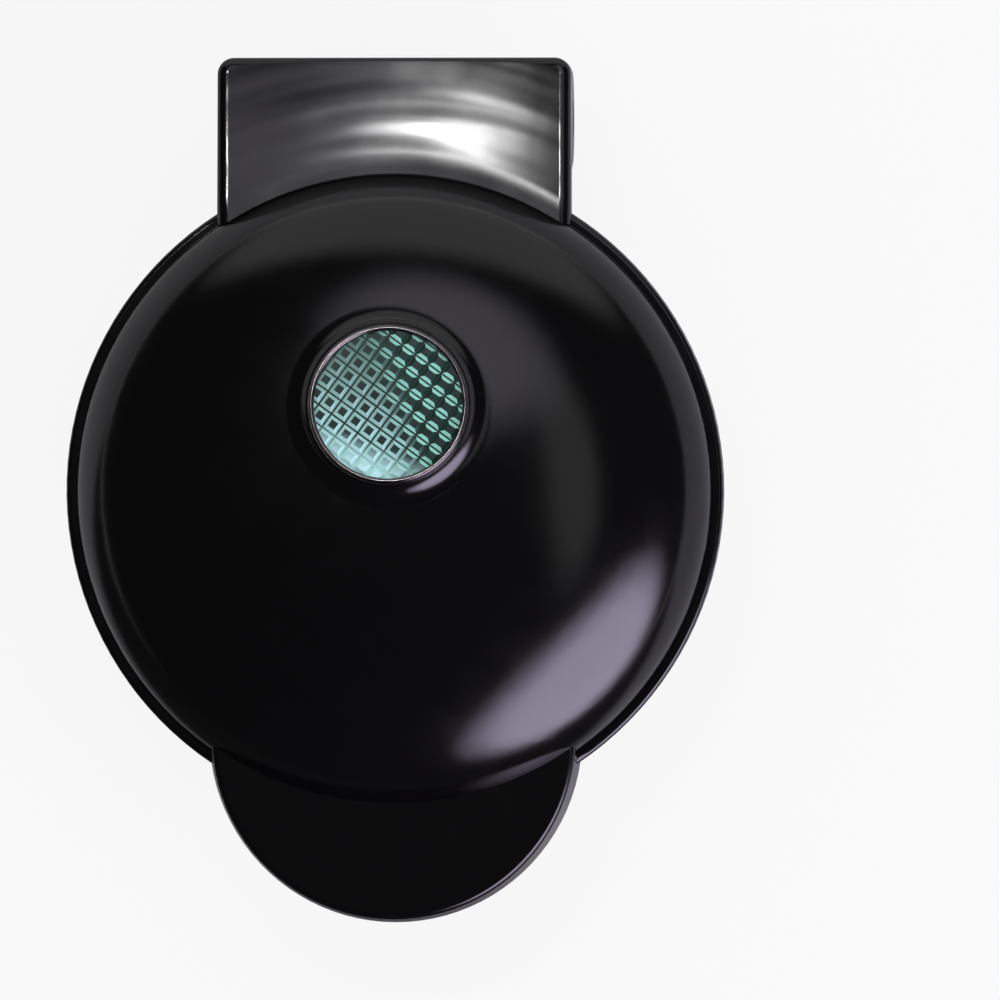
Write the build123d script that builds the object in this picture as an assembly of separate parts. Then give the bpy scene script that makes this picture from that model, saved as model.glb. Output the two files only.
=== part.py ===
from build123d import *
import os
from math import asin, atan, ceil, cos, degrees, hypot, radians, sin, sqrt, tan

# Mini waffle maker: a round countertop cooker with a hinged lid.
# Millimetres. X is to the right, Y runs to the hinge at the back, Z is up.
# The origin is on the table, under the axis of the dome.

# Walls and clearances
wall = 2.2
seat_gap = 0.2
slip = 0.1
running = 0.05

# Round body
belt_radius = 63.5
belt_height = 5.5
belt_round = 1.0
ledge_width = 2.0
dome_height = 26.5
bowl_height = 25.5
bowl_taper = 12.0
bowl_round = 3.0
foot_height = 2.5
parting_gap = 1.0
plate_gap = 0.6

# Handle, one half on the lid and one half on the base
handle_radius = 36.1
handle_overhang = 20.1
handle_rise = 5.5
handle_depth = 8.5
handle_draft = 5.5
handle_round = 1.2

# Hinge block on the lid and barrel on the base
block_width = 68.3
block_overhang = 20.1
block_rise = 3.0
block_fall = 1.5
block_round = 2.2
block_corner = 3.2
panel_dip = 0.5
hinge_inset = 11.6
hinge_drop = 7.0
ear_width = 5.75
ear_gap = 0.4
ear_lead = 10.0
knuckle_radius = 8.5
barrel_radius = 10.5
pin_radius = 2.0
pin_depth = 11.0
pin_head_radius = 3.4
pin_head_height = 1.5
stop_behind = 4.5
open_angle = 100.0

# Plates
flange_width = 5.8
cavity_draft = 8.0
plate_depth = 8.2
plate_wall = 2.2
flange_height = 2.5
peg_pitch = 16.4
peg_count = 6
peg_tip = 10.6
peg_height = 6.0
peg_draft = 11.0
peg_corner = 1.6
peg_margin = 4.2

# Heaters, their clamps and the reflectors
heater_inset = 19.0
heater_tube = 3.2
heater_gap = 12.75
heater_turn = 6.0
heater_tail = 4.0
heater_pin_radius = 1.1
heater_pin_length = 5.0
channel_height = 2.4
channel_width = 9.0
clamp_reach = 7.0
clamp_width = 7.0
clamp_height = 1.2
clamp_angles = (30, 150, 270)
clamp_boss_radius = 3.0
reflector_margin = 3.0
reflector_sheet = 0.6
reflector_rim = 3.0

# Frames that trap the plates
ring_wall = 2.1
ledge_height = 2.2
ledge_cover = 3.0
frame_plate = 2.2

# Screws
base_screw_radius = 1.5
base_head_radius = 2.7
base_head_height = 2.0
base_post_radius = 4.5
base_post_reach = 8.0
base_post_angles = (60, 120, 240, 300)
base_counterbore = 6.0
plate_boss_radius = 3.5
plate_boss_height = 5.0
clamp_screw_radius = 1.4
clamp_head_radius = 2.5
clamp_head_height = 1.5
rim_screw_radius = 1.1
rim_head_radius = 1.75
rim_head_height = 1.5
rim_screw_inset = 1.55
rim_screw_angles = (45, 135, 225, 315)
lid_screw_radius = 1.3
lid_head_radius = 2.6
lid_head_height = 1.2
lid_post_radius = 3.2
lid_screw_x = 16.0
lid_screw_reach = 4.5
thread_gap = 0.05

# Indicator
lens_y = 16.5
lens_radius = 14.2
lens_height = 2.4
prism_pitch = 3.1
prism_foot = 2.7
prism_height = 0.7
prism_slope = 45.0
prism_turn = -36.0
bezel_wall = 0.7
bezel_flange = 0.3
bezel_rise = 0.8
bezel_lip = 0.9
collar_height = 1.8
collar_foot_radius = 19.7
skirt_depth = 7.2
holder_floor = 1.2
lamp_radius = 2.0
lamp_length = 12.0
lamp_lead = 0.4

# Base fittings
front_foot_angle = 37.4
front_foot_inset = 0.7
rear_foot_x = 20.0
rear_foot_inset = 10.5
foot_radius = 6.0
foot_plug = 2.5
thermostat_radius = 8.0
thermostat_height = 4.2
thermostat_span = 24.0
thermostat_ear = 7.0
tab_width = 3.0
tab_reach = 6.0
tab_lift = 2.0
fuse_radius = 2.0
fuse_length = 15.0
fuse_y = -15.0
terminal_width = 30.0
terminal_depth = 9.0
terminal_height = 8.0
terminal_inset = 26.5
terminal_bore = 2.0
terminal_bore_depth = 2.5
terminal_slot = 1.2
cover_width = 26.0
cover_height = 8.6
cover_flange = 1.6
cord_bore = 2.8
gland_wall = 0.8
gland_length = 9.0
gland_flange = 1.0
vent_width = 2.5
vent_length = 20.0
vent_pitch = 7.0
vent_count = 5

# Wiring
wire_radius = 1.2
lead_radius = 0.8
harness_x = 4.0
harness_rise = 4.2
harness_lean = 0.65
harness_margin = 18.0
harness_lift = 0.5
harness_end = 1.0
harness_run = 3.0
wire_turn = 2.4

# Levels and places worked out from the sizes above
bowl_z = foot_height
base_belt_z = bowl_z + bowl_height
base_top_z = base_belt_z + belt_height
lid_bottom_z = base_top_z + parting_gap
dome_foot_z = lid_bottom_z + belt_height
parting_z = base_top_z + parting_gap / 2
upper_face_z = parting_z + plate_gap / 2
lower_face_z = parting_z - plate_gap / 2
foot_circle = belt_radius - ledge_width
inner_belt = belt_radius - wall
inner_foot = foot_circle - wall
bowl_bottom_radius = foot_circle - bowl_taper
handle_y = handle_radius - belt_radius - handle_overhang
block_reach = belt_radius + block_overhang
hinge_y = block_reach - hinge_inset
hinge_z = parting_z - hinge_drop
ear_front = hinge_y - ear_lead
open_stop_y = hinge_y + stop_behind
plate_back = plate_depth + plate_wall
tube_centre = plate_back + heater_tube + running
clamp_seat = tube_centre + heater_tube + running
reflector_seat = clamp_seat + clamp_height
head_seat = reflector_seat + reflector_sheet
ring_outer = inner_belt - seat_gap
ring_inner = ring_outer - ring_wall
flange_radius = ring_inner - seat_gap
cavity_radius = flange_radius - flange_width
peg_clip_radius = cavity_radius - peg_margin
heater_radius = cavity_radius - heater_inset
clamp_inner = heater_radius - clamp_reach
clamp_outer = heater_radius + clamp_reach
reflector_radius = heater_radius + reflector_margin
ledge_inner = flange_radius - ledge_cover
rim_screw_circle = flange_radius - rim_screw_inset
base_post_circle = heater_radius + base_post_reach
lid_screw_y = -belt_radius - lid_screw_reach
ledge_outer = inner_foot - seat_gap
ledge_top = flange_height + ledge_height
shoulder = belt_height - wall
ear_inner = block_width / 2 - ear_width
barrel_half = ear_inner - ear_gap
terminal_y = open_stop_y - terminal_inset
terminal_pitch = terminal_width / 3
harness_z = upper_face_z + harness_rise
room_top = hinge_z - barrel_radius - wall / 2
cord_z = bowl_z + wall + slip + cover_height / 2
standing = (Align.CENTER, Align.CENTER, Align.MIN)
upper = Pos(0, 0, upper_face_z)
lower = Pos(0, 0, lower_face_z)


def disc(radius, low, high, x=0.0, y=0.0):
    return Pos(x, y, low) * Cylinder(radius, high - low, align=standing)


def ring(outer, inner, low, high):
    return disc(outer, low, high) - disc(inner, low, high)


def brick(x, y, z):
    """A box from the low and high value along each axis."""
    centre = Pos((x[0] + x[1]) / 2, (y[0] + y[1]) / 2, (z[0] + z[1]) / 2)
    return centre * Box(x[1] - x[0], y[1] - y[0], z[1] - z[0])


def round_points(radius, angles):
    return [(radius * cos(radians(a)), radius * sin(radians(a))) for a in angles]


def side_prism(sketch, x_low, x_high):
    """Extrude a side view, drawn with Y to the right and Z up, along X."""
    return Pos(x_low, 0, 0) * extrude(Plane.YZ * sketch, x_high - x_low)


def spin(outline):
    """Turn a closed outline of radius and height about the Z axis."""
    return revolve(Plane.XZ * make_face(outline), Axis.Z)


def wire(points, radius, turn=wire_turn):
    """A round wire of straight runs joined by arcs."""
    path = FilletPolyline(*points, radius=turn) if len(points) > 2 else Line(*points)
    end = Plane(origin=path @ 0, z_dir=path % 0)
    return sweep(end * Circle(radius), path=path)


def flipped(shape):
    """The lower half is the upper half seen in a mirror on the table's plane."""
    return lower * mirror(shape, about=Plane.XY)


# Waffle plates: height runs from the rim face to the back
def peg_field():
    root = peg_tip + 2 * peg_height * tan(radians(peg_draft))
    peg = extrude(RectangleRounded(root, root, peg_corner), peg_height, taper=peg_draft)
    first = -(peg_count - 1) / 2 * peg_pitch
    places = [first + peg_pitch * step for step in range(peg_count)]
    inside = peg_clip_radius + peg_tip / 2
    pegs = [Pos(x, y) * peg for x in places for y in places if hypot(x, y) < inside]
    tip_radius = peg_clip_radius - peg_height * tan(radians(peg_draft))
    clip = Cone(peg_clip_radius, tip_radius, peg_height, align=standing)
    clipped = [peg_here & clip for peg_here in pegs]
    return [Pos(0, 0, plate_depth) * Rot(180, 0, 0) * piece for piece in clipped]


def waffle_plate():
    floor_radius = cavity_radius - plate_depth * tan(radians(cavity_draft))
    back_radius = floor_radius + plate_wall / 2
    cup = Cone(cavity_radius + plate_wall, back_radius, plate_back, align=standing)
    cup = fillet(cup.edges().sort_by(Axis.Z)[-1], plate_wall / 2)
    cavity = Cone(cavity_radius, floor_radius, plate_depth, align=standing)
    cavity = fillet(cavity.edges().sort_by(Axis.Z)[-1], plate_wall / 2)
    plate = disc(flange_radius, 0, flange_height) + cup - cavity
    plate += peg_field()
    half = channel_width / 2
    plate += ring(heater_radius + half, heater_radius - half, plate_back, plate_back + channel_height)
    places = round_points(clamp_inner, clamp_angles) + round_points(clamp_outer, clamp_angles)
    plate += [disc(clamp_boss_radius, plate_back, clamp_seat, x, y) for x, y in places]
    groove = Torus(heater_radius, heater_tube + running)
    plate -= Pos(0, 0, tube_centre) * groove
    return plate - Pos(0, 0, tube_centre) * heater_tails(heater_tube + 2 * running)


def clamp_screw_holes():
    low = plate_back + clamp_head_height
    return [
        disc(clamp_screw_radius + thread_gap, low, clamp_seat, x, y)
        for x, y in round_points(clamp_inner, clamp_angles)
    ]


def upper_plate():
    plate = waffle_plate() - clamp_screw_holes()
    deep = flange_height / 3
    return plate - [
        disc(rim_screw_radius + thread_gap, deep, flange_height, x, y)
        for x, y in round_points(rim_screw_circle, rim_screw_angles)
    ]


def lower_plate():
    top = plate_back + plate_boss_height
    places = round_points(base_post_circle, base_post_angles)
    plate = waffle_plate() + [disc(plate_boss_radius, plate_back, top, x, y) for x, y in places]
    plate -= clamp_screw_holes()
    bore = base_screw_radius + thread_gap
    return plate - [disc(bore, plate_back + running, top, x, y) for x, y in places]


# Heaters
def heater_path():
    gap_angle = degrees(asin(heater_gap / heater_radius))
    loop = CenterArc((0, 0), heater_radius, 90 + gap_angle, 360 - 2 * gap_angle)
    turn = JernArc(loop @ 1, loop % 1, heater_turn, -90)
    tail = Line(turn @ 1, turn @ 1 + heater_tail * (turn % 1))
    return loop, turn, tail


def heater_tails(radius):
    """The two ends of the tube, turned outwards to their terminals."""
    loop, turn, tail = heater_path()
    end = Plane(origin=turn @ 0, z_dir=turn % 0)
    right = sweep(end * Circle(radius), path=Wire([turn, tail]))
    return right + mirror(right, about=Plane.YZ)


def heater():
    loop, turn, tail = heater_path()
    end = Plane(origin=loop @ 0, z_dir=loop % 0)
    tube = sweep(end * Circle(heater_tube), path=loop) + heater_tails(heater_tube)
    tip = tail @ 1
    far = tip + heater_pin_length * (tail % 1)
    pin = wire([tip - (tail % 1), far], heater_pin_radius)
    tube += [pin, mirror(pin, about=Plane.YZ)]
    return Pos(0, 0, tube_centre) * tube


def heater_terminal():
    """Where the right-hand pin ends, beside the plate's back."""
    tail = heater_path()[2]
    end = tail @ 1 + heater_pin_length * (tail % 1)
    return end.X, end.Y


def heater_clamps():
    length = clamp_outer - clamp_inner + clamp_width
    middle = (clamp_outer + clamp_inner) / 2
    strap = extrude(SlotOverall(length, clamp_width), clamp_height)
    strap = Pos(middle, 0, clamp_seat) * strap
    strap -= disc(clamp_screw_radius + slip, clamp_seat, reflector_seat, clamp_inner)
    return Compound([Rot(0, 0, angle) * strap for angle in clamp_angles])


def clamp_screws():
    low = plate_back + clamp_head_height + slip
    screw = disc(clamp_screw_radius, low, head_seat) + disc(
        clamp_head_radius, head_seat, head_seat + clamp_head_height
    )
    head = screw.edges().sort_by(Axis.Z)[-1]
    screw = fillet(head, clamp_head_height / 3)
    return Compound([Pos(x, y) * screw for x, y in round_points(clamp_inner, clamp_angles)])


def reflector():
    sheet = disc(reflector_radius, reflector_seat, head_seat + reflector_rim)
    sheet -= disc(reflector_radius - reflector_sheet, head_seat, head_seat + reflector_rim)
    hole = clamp_screw_radius + slip
    return sheet - [
        disc(hole, reflector_seat, head_seat, x, y)
        for x, y in round_points(clamp_inner, clamp_angles)
    ]


# Frames: height runs from the parting face into the shell
def plate_frame():
    frame = ring(ring_outer, ring_inner, 0, shoulder + seat_gap)
    frame += ring(ledge_outer, ledge_inner, flange_height, ledge_top)
    tongue = disc(handle_radius - wall - seat_gap, 0, frame_plate, 0, handle_y)
    tongue -= disc(ring_inner, 0, frame_plate)
    return frame + tongue


def lid_frame():
    frame = plate_frame()
    frame -= [
        disc(rim_screw_radius + slip, flange_height, ledge_top, x, y)
        for x, y in round_points(rim_screw_circle, rim_screw_angles)
    ]
    for x in (-lid_screw_x, lid_screw_x):
        frame -= disc(lid_head_radius + slip, 0, lid_head_height + slip, x, lid_screw_y)
        frame -= disc(lid_screw_radius + slip, 0, frame_plate, x, lid_screw_y)
    half = wire_radius + 2 * seat_gap
    slot = brick((harness_x - half, harness_x + half), (0, belt_radius), (flange_height, ledge_top + slip))
    return frame - slot


def base_frame():
    return plate_frame()


def rim_screws():
    low = flange_height / 3 + slip
    screw = disc(rim_screw_radius, low, ledge_top)
    screw += disc(rim_head_radius, ledge_top, ledge_top + rim_head_height)
    screw = fillet(screw.edges().sort_by(Axis.Z)[-1], rim_head_height / 3)
    return Compound([Pos(x, y) * screw for x, y in round_points(rim_screw_circle, rim_screw_angles)])


def lid_screws():
    seat = upper_face_z + lid_head_height + slip
    top = dome_foot_z + handle_rise - wall
    screw = disc(lid_head_radius, seat - lid_head_height, seat)
    screw += disc(lid_screw_radius, seat, top)
    return Compound([Pos(x, lid_screw_y) * screw for x in (-lid_screw_x, lid_screw_x)])


# Lid
def dome_body(radius, height):
    arc = EllipticalCenterArc((0, 0), radius, height, start_angle=0, arc_size=90)
    return spin([arc, Line((0, height), (0, 0)), Line((0, 0), (radius, 0))])


def tongue_body(radius, height, top_round):
    tongue = extrude(Pos(0, handle_y) * Circle(radius), height, taper=handle_draft)
    if top_round:
        tongue = fillet(tongue.edges().sort_by(Axis.Z)[-1], top_round)
    return tongue


def belt_body():
    """The belt, with its parting edge at height 0."""
    belt = disc(belt_radius, 0, belt_height)
    return fillet(belt.edges().sort_by(Axis.Z)[-1], belt_round)


def hinge_circle(radius):
    return Pos(hinge_y, hinge_z) * Circle(radius)


def block_top(y):
    slope = block_fall / (block_reach - foot_circle)
    return dome_foot_z + block_rise - (y - foot_circle) * slope


def hinge_block():
    front = foot_circle - 2 * wall - ear_width
    top = Polygon(
        (front, lid_bottom_z),
        (block_reach, lid_bottom_z),
        (block_reach, block_top(block_reach)),
        (front, block_top(front)),
        align=None,
    )
    foot = Line((ear_front, lid_bottom_z), (block_reach, lid_bottom_z))
    ear = make_hull([hinge_circle(knuckle_radius).edge(), foot])
    half = block_width / 2
    block = side_prism(top + ear, -half, half)
    upright = block.edges().filter_by(Axis.Z).filter_by(lambda e: e.center().Y > block_reach - slip)
    block = fillet(upright, block_corner)
    top_face = block.faces().filter_by(lambda f: f.normal_at().Z > cos(radians(10))).sort_by(Axis.Z)[-1]
    rim = top_face.edges().filter_by(lambda e: e.center().Y > front + slip)
    block = fillet(rim, block_round)
    return block - panel_dish(front)


def panel_dish(front):
    """The shallow hollow in the top of the hinge block."""
    half = block_width / 2 - block_round
    fall = degrees(asin(block_fall / (block_reach - foot_circle)))
    arc = ThreePointArc((-half, 0), (0, -panel_dip), (half, 0))
    lid_line = Polyline((half, 0), (half, wall), (-half, wall), (-half, 0))
    profile = make_face([arc, *lid_line.edges()])
    length = block_reach - front + wall
    dish = extrude(Plane.XZ * profile, -length)
    return Pos(0, front, block_top(front)) * Rot(-fall, 0, 0) * dish


def lens_plane():
    """The indicator lies square to the dome, behind its middle."""
    share = lens_y / foot_circle
    rise = dome_height * sqrt(1 - share**2)
    slope = dome_height / foot_circle * share / sqrt(1 - share**2)
    tilt = asin(slope / sqrt(1 + slope**2))
    origin = (0, lens_y, dome_foot_z + rise)
    return Plane(origin=origin, x_dir=(1, 0, 0), z_dir=(0, sin(tilt), cos(tilt)))


def bezel_bore():
    return lens_radius + running + bezel_wall + slip


def lens_collar():
    """The collar runs out into the dome in one hollow curve."""
    top_radius = bezel_bore() + bezel_flange
    dome_curve = foot_circle**2 / dome_height
    foot_drop = collar_foot_radius**2 / dome_curve / 2 + slip / 2
    foot_slope = asin(collar_foot_radius / dome_curve)
    foot = (collar_foot_radius, -foot_drop)
    flare = TangentArc(foot, (top_radius, collar_height), tangent=(-cos(foot_slope), sin(foot_slope)))
    sunk = -foot_drop - wall / 2
    rest = Polyline((top_radius, collar_height), (0, collar_height), (0, sunk), (collar_foot_radius, sunk), foot)
    return lens_plane() * spin([flare, *rest.edges()])


def lid_shell():
    shell = Pos(0, 0, lid_bottom_z) * belt_body()
    shell += Pos(0, 0, dome_foot_z) * dome_body(foot_circle, dome_height)
    handle_top = belt_height + handle_rise
    shell += Pos(0, 0, lid_bottom_z) * tongue_body(handle_radius, handle_top, handle_round)
    shell += hinge_block()
    shell += lens_collar()

    shell -= disc(inner_belt, lid_bottom_z, lid_bottom_z + shoulder)
    shell -= disc(inner_foot, lid_bottom_z, dome_foot_z)
    shell -= Pos(0, 0, dome_foot_z) * dome_body(inner_foot, dome_height - wall)
    shell -= Pos(0, 0, lid_bottom_z) * tongue_body(handle_radius - wall, handle_top - wall, 0)

    rear = block_reach - wall
    roof = Polygon(
        (0, lid_bottom_z),
        (rear, lid_bottom_z),
        (rear, block_top(rear) - wall - panel_dip),
        (0, block_top(0) - wall - panel_dip),
        align=None,
    )
    hollow = side_prism(roof, -ear_inner, ear_inner)
    shell -= hollow - disc(belt_radius, lid_bottom_z, dome_foot_z + dome_height)
    shell -= brick((-ear_inner, ear_inner), (0, block_reach), (0, lid_bottom_z))

    half = wire_radius + 2 * seat_gap
    low = harness_z - half
    shell -= brick(
        (harness_x - half, harness_x + half),
        (inner_foot - wall, belt_radius + wall),
        (low, harness_z + half),
    )

    posts = [
        disc(lid_post_radius, upper_face_z + frame_plate, dome_foot_z + handle_rise - wall / 2, x, lid_screw_y)
        for x in (-lid_screw_x, lid_screw_x)
    ]
    shell += posts
    top = dome_foot_z + handle_rise - wall
    shell -= [
        disc(lid_screw_radius + thread_gap, upper_face_z, top, x, lid_screw_y)
        for x in (-lid_screw_x, lid_screw_x)
    ]

    bore = bezel_bore()
    skirt = Cylinder(bore + wall, skirt_depth - wall / 2, align=standing)
    shell += lens_plane() * Pos(0, 0, -skirt_depth) * skirt
    through = Cylinder(bore, skirt_depth + collar_height + wall, align=standing)
    shell -= lens_plane() * Pos(0, 0, -skirt_depth) * through

    for side in (-1, 1):
        shell -= hinge_drill(pin_radius + running / 2, side, ear_inner, block_width / 2)
        deep = block_width / 2 - pin_head_height - slip
        shell -= hinge_drill(pin_head_radius + slip, side, deep, block_width / 2 + wall)
    return shell


def hinge_drill(radius, side, inner, outer):
    """A cylinder on the hinge axis, on the side given by its sign."""
    rod = side_prism(hinge_circle(radius), inner, outer)
    return rod if side > 0 else mirror(rod, about=Plane.YZ)


def hinge_pin(side):
    outer = block_width / 2 - slip
    inner = barrel_half - pin_depth
    pin = hinge_drill(pin_radius, side, inner, outer)
    return pin + hinge_drill(pin_head_radius, side, outer - pin_head_height, outer)


# Indicator
def lens_bezel():
    sleeve = bezel_bore() - slip
    inner = lens_radius + running
    lip = inner - bezel_lip
    low = collar_height + bezel_rise - lens_height - bezel_rise / 2 - bezel_lip
    seat = collar_height
    rim = sleeve + bezel_flange
    crown = Line((rim, seat), (rim, seat + bezel_rise / 2))
    over = ThreePointArc(
        (rim, seat + bezel_rise / 2),
        ((rim + inner) / 2, seat + bezel_rise),
        (inner, seat + bezel_rise / 2),
    )
    inside = Polyline(
        (inner, seat + bezel_rise / 2),
        (inner, low + bezel_lip),
        (lip, low + bezel_lip),
        (lip, low),
        (sleeve, low),
        (sleeve, seat),
        (rim, seat),
    )
    return lens_plane() * spin([crown, over, *inside.edges()])


def lens_seat():
    """Height of the lens underside above the dome, along the lens axis."""
    return collar_height + bezel_rise / 2 - lens_height


def prisms(low):
    """The lens is covered by a square grid of cut-off pyramids, cut round at its rim."""
    prism = extrude(Rectangle(prism_foot, prism_foot), prism_height, taper=prism_slope)
    count = ceil(lens_radius / prism_pitch)
    places = [step * prism_pitch for step in range(-count, count + 1)]
    reach = lens_radius + prism_foot / 2
    field = [Pos(x, y) * prism for x in places for y in places if hypot(x, y) < reach]
    round_cut = Cylinder(lens_radius, prism_height, align=standing)
    kept = [piece & round_cut for piece in field]
    return [Pos(0, 0, low) * Rot(0, 0, prism_turn) * piece for piece in kept if piece]


def indicator_lens():
    body = lens_height - prism_height
    lens = Pos(0, 0, lens_seat()) * Cylinder(lens_radius, body, align=standing)
    return lens_plane() * (lens + prisms(lens_seat() + body))


def lamp_holder():
    outer = bezel_bore() - slip
    inner = outer - holder_floor
    rim = lens_seat() - bezel_lip - seat_gap
    low = -skirt_depth - holder_floor
    cup = disc(outer, -skirt_depth, rim) + disc(outer + wall, low, -skirt_depth)
    cup -= disc(inner, -skirt_depth, rim)
    for side in (-1, 1):
        cup -= disc(lamp_lead + slip, low, -skirt_depth, side * lamp_length / 3)
    return lens_plane() * cup


def indicator_lamp():
    middle = -skirt_depth + lamp_radius + seat_gap
    glass = Rot(0, 90, 0) * Cylinder(lamp_radius, lamp_length)
    glass = fillet(glass.edges(), lamp_radius - slip)
    lamp = Pos(0, 0, middle) * glass
    for side in (-1, 1):
        lamp += disc(lamp_lead, -skirt_depth - holder_floor, middle, side * lamp_length / 3)
    return lens_plane() * lamp


# Base
def bowl_body(inset):
    radius = foot_circle - inset
    drop = foot_circle - bowl_bottom_radius
    curve = (drop**2 + bowl_height**2) / (2 * drop)
    centre = foot_circle - curve
    low = bowl_z + inset
    fall = base_belt_z - low
    sweep_angle = degrees(asin(fall / (curve - inset)))
    side = CenterArc((centre, base_belt_z), curve - inset, 0, -sweep_angle)
    corner = side @ 1
    floor = Polyline((corner.X, corner.Y), (0, low), (0, base_belt_z), (radius, base_belt_z))
    bowl = spin([side, *floor.edges()])
    return fillet(bowl.edges().sort_by(Axis.Z)[0], bowl_round)


def base_block():
    """The rear of the base, with the hinge barrel on it."""
    inside = foot_circle - 4 * wall - ear_width
    low = Polygon(
        (inside, bowl_z), (open_stop_y, bowl_z), (open_stop_y, hinge_z), (inside, hinge_z), align=None
    )
    bridge_end = hinge_y - barrel_radius / 2
    high = Polygon(
        (inside, hinge_z), (bridge_end, hinge_z), (bridge_end, base_top_z), (inside, base_top_z), align=None
    )
    block = side_prism(low + high + hinge_circle(barrel_radius), -barrel_half, barrel_half)
    upright = block.edges().filter_by(Axis.Z).filter_by(lambda e: e.center().Y > hinge_y)
    return fillet(upright, block_round)


def base_shell():
    shell = bowl_body(0)
    shell += Pos(0, 0, base_top_z) * mirror(belt_body(), about=Plane.XY)
    tongue = mirror(tongue_body(handle_radius, handle_depth, handle_round), about=Plane.XY)
    shell += Pos(0, 0, base_top_z) * tongue
    shell += base_block()

    shell -= disc(inner_belt, base_top_z - shoulder, base_top_z)
    shell -= disc(inner_foot, base_belt_z, base_top_z)
    shell -= bowl_body(wall)
    hollow = mirror(tongue_body(handle_radius - wall, handle_depth - wall, 0), about=Plane.XY)
    shell -= Pos(0, 0, base_top_z) * hollow

    half = barrel_half - wall
    shell -= brick((-half, half), (0, open_stop_y - wall), (bowl_z + wall, room_top))

    places = round_points(base_post_circle, base_post_angles)
    post_top = lower_face_z - plate_back - plate_boss_height
    shell += [disc(base_post_radius, bowl_z + wall / 2, post_top, x, y) for x, y in places]
    for x, y in places:
        shell -= disc(base_screw_radius + slip, bowl_z, post_top, x, y)
        shell -= disc(base_head_radius + slip, bowl_z, bowl_z + base_counterbore, x, y)
    for x, y in foot_places().values():
        shell -= disc(foot_plug + slip, bowl_z, bowl_z + wall, x, y)

    shell -= wire_passage()
    for side in (-1, 1):
        deep = barrel_half - pin_depth - seat_gap
        shell -= hinge_drill(pin_radius + running, side, deep, barrel_half)
    first = -(vent_count - 1) / 2 * vent_pitch
    for step in range(vent_count):
        slot = extrude(SlotOverall(vent_length, vent_width, rotation=90), wall)
        shell -= Pos(first + step * vent_pitch, 0, bowl_z) * slot

    rear = (open_stop_y - wall, open_stop_y)
    cover = cover_width / 2
    shell -= brick((-cover, cover), rear, (cord_z - cover_height / 2, cord_z + cover_height / 2))
    return shell


def wire_passage():
    """The hollow middle of the barrel, the slot the lid's wires sweep, and the way down."""
    half = barrel_half - pin_depth - 2 * wall
    hollow = side_prism(hinge_circle(barrel_radius / 2), -half, half)
    reach = barrel_radius * 1.5
    rest_angle = 90 + degrees(atan(harness_lean))
    first = rest_angle - open_angle - harness_margin
    step = (open_angle + 2 * harness_margin) / 3
    rays = round_points(reach, [first + step * count for count in range(4)])
    fan = Pos(hinge_y, hinge_z) * Polygon((0, 0), *rays, align=None)
    gap = wire_radius + 2 * seat_gap
    hollow += side_prism(fan, harness_x - 2 * gap, harness_x + 2 * gap)
    return hollow + disc(2 * wire_radius, room_top - wall, hinge_z, -harness_x, hinge_y)


def foot_places():
    circle = bowl_bottom_radius - foot_radius - front_foot_inset
    front_x = circle * cos(radians(front_foot_angle))
    front_y = -circle * sin(radians(front_foot_angle))
    rear_y = open_stop_y - rear_foot_inset
    return {
        "front_left_foot": (-front_x, front_y),
        "front_right_foot": (front_x, front_y),
        "rear_left_foot": (-rear_foot_x, rear_y),
        "rear_right_foot": (rear_foot_x, rear_y),
    }


def foot(x, y):
    pad = disc(foot_radius, 0, foot_height)
    pad = fillet(pad.edges().sort_by(Axis.Z)[0], foot_height / 4)
    pad += disc(foot_plug, foot_height, bowl_z + wall)
    barb = Cone(foot_plug + 2 * slip + seat_gap, foot_plug / 2, foot_plug / 2, align=standing)
    return Pos(x, y, 0) * (pad + Pos(0, 0, bowl_z + wall) * barb)


def base_screws():
    seat = bowl_z + base_counterbore
    top = lower_face_z - plate_back - running * 2
    screw = disc(base_head_radius, seat - base_head_height, seat)
    screw = fillet(screw.edges().sort_by(Axis.Z)[0], base_head_height / 3)
    screw += disc(base_screw_radius, seat, top)
    return Compound([Pos(x, y) * screw for x, y in round_points(base_post_circle, base_post_angles)])


def thermostat():
    """Bimetal disc thermostat on a flange, with two spade tabs."""
    body = disc(thermostat_radius, plate_back, plate_back + thermostat_height)
    flange = Pos(0, 0, plate_back) * extrude(SlotOverall(thermostat_span, thermostat_ear), reflector_sheet)
    half = tab_width / 2
    low = plate_back + tab_lift
    tabs = [
        brick((x - half, x + half), (thermostat_radius / 2, thermostat_radius + tab_reach), (low, low + reflector_sheet))
        for x in (-thermostat_radius / 2, thermostat_radius / 2)
    ]
    return body + flange + tabs


def thermal_fuse():
    middle = plate_back + fuse_radius + running
    can = Rot(0, 90, 0) * Cylinder(fuse_radius, fuse_length)
    can = fillet(can.edges(), fuse_radius / 2)
    return Pos(0, fuse_y, middle) * can


def terminal_block():
    low = bowl_z + wall
    half = terminal_width / 2
    block = brick((-half, half), (terminal_y, terminal_y + terminal_depth), (low, low + terminal_height))
    top = low + terminal_height
    for x in (-terminal_pitch, 0, terminal_pitch):
        block -= disc(terminal_bore, top - terminal_bore_depth, top, x, terminal_y + terminal_depth / 2)
    deep = (terminal_y, terminal_y + terminal_depth)
    half = terminal_slot / 2
    for x in (-terminal_pitch / 2, terminal_pitch / 2):
        block -= brick((x - half, x + half), deep, (top - terminal_bore, top))
    return block


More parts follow.
